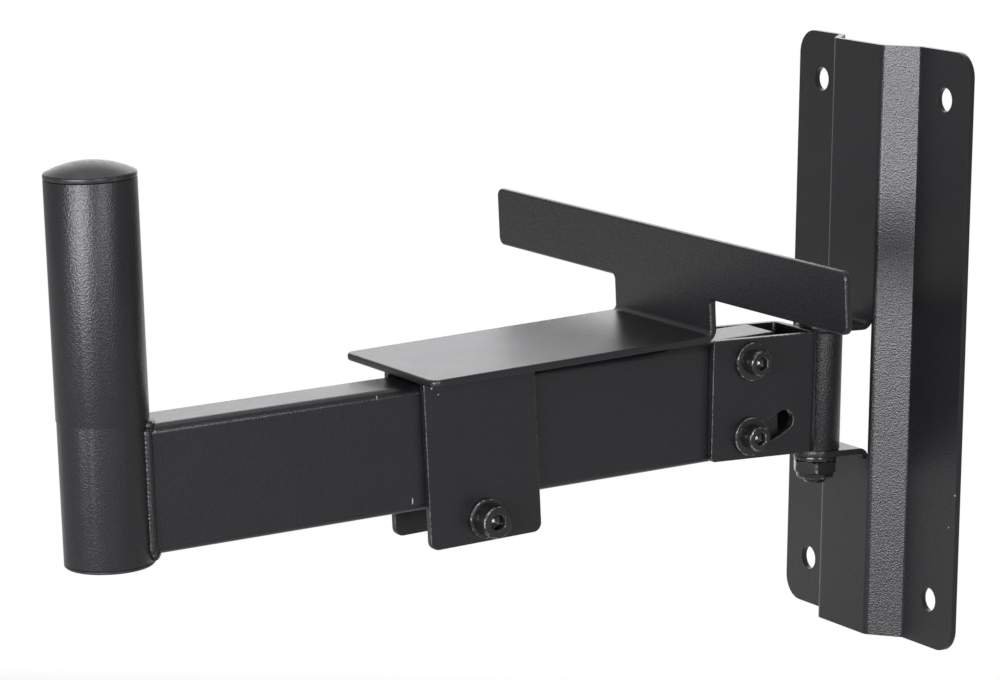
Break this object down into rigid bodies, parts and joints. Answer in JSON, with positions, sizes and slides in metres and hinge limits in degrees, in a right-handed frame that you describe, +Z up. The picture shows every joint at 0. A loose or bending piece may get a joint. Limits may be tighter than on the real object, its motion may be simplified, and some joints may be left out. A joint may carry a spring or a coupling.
{
  "type": "speaker wall bracket",
  "caption": "Black steel wall bracket: hinged plate, tilting box-section arm with an upright pole for a speaker's socket, and a sliding stop bar.",
  "frame": {"origin": "the wall: centre of the wall plate's back face, midway between its four bolt holes", "axes": "+Z up, X along the wall, Y square to the wall; the bracket reaches out of the wall along -Y"},
  "size_m": [0.26, 0.3778, 0.248],
  "materials": {
    "powder_coat": "satin fine-texture powder coat",
    "black_fastener": "black oxide, slightly oily",
    "black_plastic": "moulded, low sheen"
  },
  "bodies": {
    "wall_mount": {"wall_plate": "powder_coat", "pivot_bolt": "black_fastener", "pivot_washer": "black_fastener", "pivot_nut": "black_fastener", "pivot_nut_ring": "black_plastic"},
    "yoke_body": {"yoke": "powder_coat", "hinge_barrel": "powder_coat", "barrel_welds": "powder_coat", "tilt_screw": "black_fastener", "tilt_washer_near": "black_fastener", "tilt_washer_far": "black_fastener", "tilt_nut": "black_fastener", "tilt_nut_ring": "black_plastic"},
    "arm_body": {"arm_tube": "powder_coat", "pole": "powder_coat", "pole_weld": "powder_coat", "pole_cap": "black_plastic", "pole_plug": "black_plastic", "lock_screw": "black_fastener", "lock_washer_near": "black_fastener", "lock_washer_far": "black_fastener", "lock_nut": "black_fastener", "lock_nut_ring": "black_plastic"},
    "stop_body": {"stop_plate": "powder_coat", "stop_saddle": "powder_coat", "saddle_welds": "powder_coat", "clamp_screw": "black_fastener", "clamp_washer_near": "black_fastener", "clamp_washer_far": "black_fastener", "clamp_nut": "black_fastener", "clamp_nut_ring": "black_plastic"}
  },
  "joints": [
    {"name": "swivel", "type": "hinge", "parent": "wall_mount", "child": "yoke_body", "pos_m": [0, -0.031, -0.0199], "axis": [0, 0, 1], "range_deg": [-40, 40]},
    {"name": "tilt", "type": "hinge", "parent": "yoke_body", "child": "arm_body", "pos_m": [0, -0.075, -0.0023], "axis": [1, 0, 0], "range_deg": [-2.9, 23]},
    {"name": "stop_slide", "type": "slide", "parent": "arm_body", "child": "stop_body", "axis": [0, -0.9987, -0.0506], "range_m": [-0.008, 0.102]}
  ]
}
